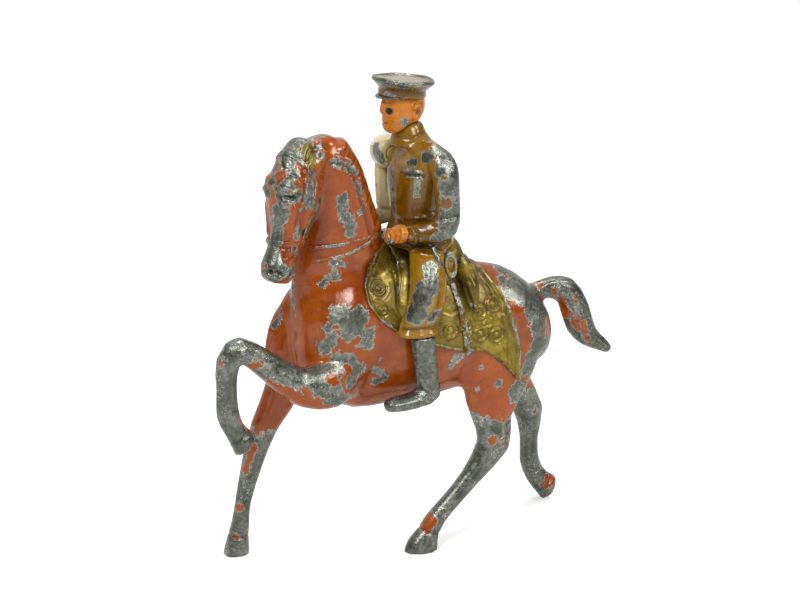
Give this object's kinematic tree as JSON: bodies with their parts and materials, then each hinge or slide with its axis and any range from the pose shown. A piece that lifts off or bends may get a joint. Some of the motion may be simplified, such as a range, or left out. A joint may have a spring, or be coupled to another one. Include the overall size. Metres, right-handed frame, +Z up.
{
  "type": "toy soldier figure",
  "caption": "Mounted toy soldier in painted cast lead: a prancing horse with saddle cloth and an officer in a peaked cap with a movable right arm.",
  "frame": {"origin": "on the floor, under the centre of the overall bounding box", "axes": "+Z up, -X the way the horse faces, -Y the horse's left side, which faces the picture's camera"},
  "size_m": [0.0762, 0.0228, 0.0808],
  "materials": {
    "horse_paint": "aged gloss orange-brown enamel over cast lead",
    "bare_lead": "dull grey lead with traces of enamel",
    "cloth_paint": "aged gloss olive-gold enamel",
    "tunic_paint": "aged gloss golden-brown enamel",
    "skin_paint": "aged gloss orange flesh enamel",
    "khaki_paint": "pale khaki enamel, rubbed to grey metal on the edges"
  },
  "bodies": {
    "figure": {"horse_body": "horse_paint", "horse_neck": "horse_paint", "horse_head": "horse_paint", "left_ear": "horse_paint", "right_ear": "horse_paint", "forelock": "horse_paint", "mane": "horse_paint", "left_foreleg": "bare_lead", "right_foreleg": "bare_lead", "left_hindleg": "bare_lead", "right_hindleg": "bare_lead", "tail": "bare_lead", "bridle": "bare_lead", "left_reins": "bare_lead", "right_reins": "bare_lead", "saddle_cloth": "cloth_paint", "cloth_piping": "bare_lead", "saddle": "cloth_paint", "rolled_cloak": "cloth_paint", "scabbard": "bare_lead", "sword_hilt": "bare_lead", "tunic": "tunic_paint", "tunic_skirt": "tunic_paint", "collar": "tunic_paint", "rider_head": "skin_paint", "cap": "khaki_paint", "cap_peak": "khaki_paint", "left_arm": "tunic_paint", "left_hand": "skin_paint", "left_thigh": "tunic_paint", "right_thigh": "tunic_paint", "left_boot": "bare_lead", "right_boot": "bare_lead", "shoulder_stud": "bare_lead"},
    "arm": {"right_arm": "khaki_paint", "right_fist": "skin_paint"}
  },
  "joints": [
    {"name": "right_arm_swing", "type": "hinge", "parent": "figure", "child": "arm", "pos_m": [-0.00222, 0.00657, 0.0669], "axis": [0, 1, 0], "range_deg": [-15, 165]}
  ]
}
